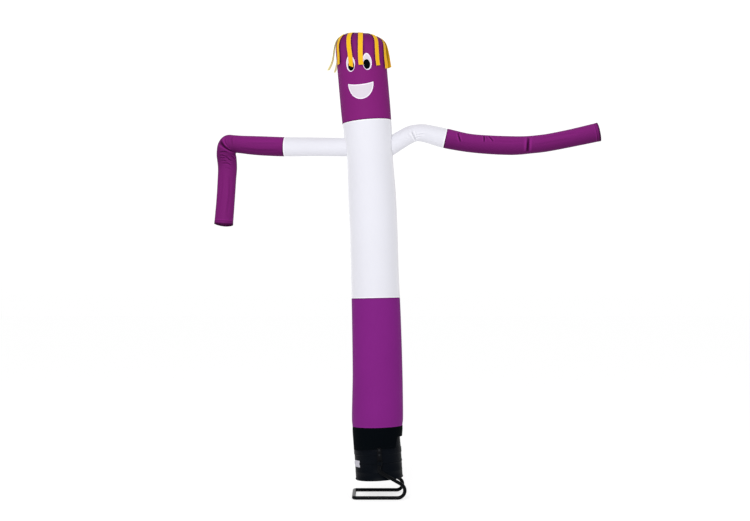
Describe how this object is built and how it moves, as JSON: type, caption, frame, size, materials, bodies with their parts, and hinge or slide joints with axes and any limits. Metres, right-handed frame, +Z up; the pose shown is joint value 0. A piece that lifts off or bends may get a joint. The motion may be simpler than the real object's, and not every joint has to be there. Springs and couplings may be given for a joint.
{
  "type": "inflatable air dancer with blower and stand",
  "caption": "Leaning inflatable tube figure with arms, smiling face and ribbon hair, on a drum blower in a bent-tube stand; it waves to draw attention outdoors.",
  "frame": {"origin": "on the floor, under the middle of the whole object's width and depth; the blower stands 0.26 m to the viewer's left of it", "axes": "+Z up along the figure, +X to the viewer's right along the arms, the face looks along -Y"},
  "size_m": [3.6387, 0.5574, 4.3412],
  "materials": {
    "purple_cloth": "lightly sheened coated nylon, purple",
    "white_cloth": "lightly sheened coated nylon, cool white",
    "yellow_cloth": "satin nylon ribbon, yellow",
    "black_cloth": "matt coated nylon, black",
    "black_plastic": "satin moulded plastic, black",
    "black_steel": "semi-gloss powder coat, black"
  },
  "bodies": {
    "root": {"arm_root_left": "white_cloth", "arm_root_right": "white_cloth", "bracket_back": "black_steel", "bracket_front": "black_steel", "drum": "black_plastic", "eye_left": "white_cloth", "eye_right": "white_cloth", "head": "purple_cloth", "knob_back": "black_plastic", "knob_front": "black_plastic", "legs": "purple_cloth", "mouth": "white_cloth", "pupil_left": "black_cloth", "pupil_right": "black_cloth", "ribbon_01": "yellow_cloth", "ribbon_02": "yellow_cloth", "ribbon_03": "yellow_cloth", "ribbon_04": "yellow_cloth", "ribbon_05": "yellow_cloth", "ribbon_06": "yellow_cloth", "ribbon_07": "yellow_cloth", "ribbon_08": "yellow_cloth", "ribbon_09": "yellow_cloth", "ribbon_10": "yellow_cloth", "ribbon_11": "yellow_cloth", "skirt": "black_cloth", "sleeve_left": "purple_cloth", "sleeve_right": "purple_cloth", "stand": "black_steel", "torso": "white_cloth"}
  },
  "joints": []
}
